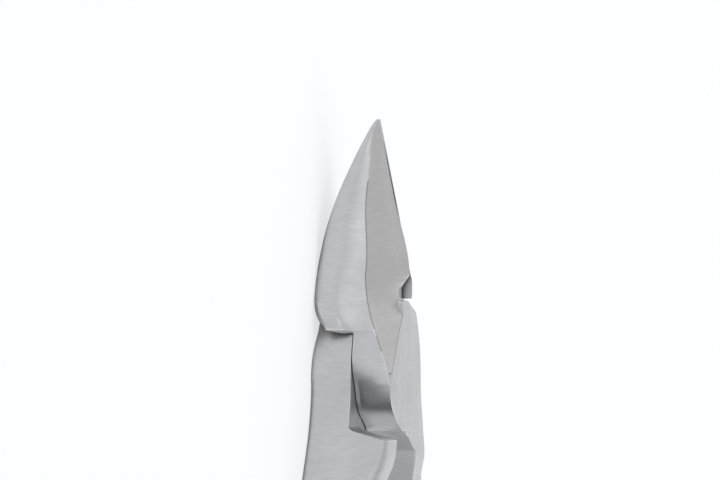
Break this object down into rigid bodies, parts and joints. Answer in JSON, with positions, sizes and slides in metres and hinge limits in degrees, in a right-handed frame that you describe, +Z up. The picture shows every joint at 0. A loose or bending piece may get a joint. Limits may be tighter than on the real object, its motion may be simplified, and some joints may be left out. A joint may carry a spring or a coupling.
{
  "type": "nail clipper",
  "caption": "Plier-type nail clipper: bevelled cutting jaws on a lap joint, bowed handles sprung apart by crossed leaf springs, and a swing latch that holds them shut.",
  "frame": {"origin": "middle of the underside of the whole tool, lying on its back with the jaws almost closed", "axes": "+X towards the jaw tips, +Y the way the upper half's jaw opens, +Z up out of the cutting side"},
  "size_m": [0.1178, 0.048, 0.0076],
  "materials": {
    "satin_steel": "satin, fine ground lines",
    "bright_steel": "turned and polished",
    "spring_steel": "rolled strip, bright",
    "latch_steel": "stamped, tumbled"
  },
  "bodies": {
    "lower": {"lower_half": "satin_steel", "lower_spring": "spring_steel", "lower_spring_screw": "bright_steel", "latch_rivet": "bright_steel"},
    "upper": {"upper_half": "satin_steel", "pivot_screw": "bright_steel", "upper_spring": "spring_steel", "upper_spring_screw": "bright_steel", "lock_stud": "bright_steel"},
    "latch": {"lock_latch": "latch_steel"}
  },
  "joints": [
    {"name": "jaw_pivot", "type": "hinge", "parent": "lower", "child": "upper", "pos_m": [0.03597, 0, 0.0036], "axis": [0, 0, 1], "range_deg": [-2.5, 13.5], "stiffness_Nm_per_rad": 0.8, "springref_deg": 13.5, "deforming": ["upper_spring", "lower_spring"]},
    {"name": "latch_swing", "type": "hinge", "parent": "lower", "child": "latch", "pos_m": [-0.05421, 0.011, 0.0036], "axis": [0, 0, 1], "range_deg": [-112.94, 15]}
  ]
}
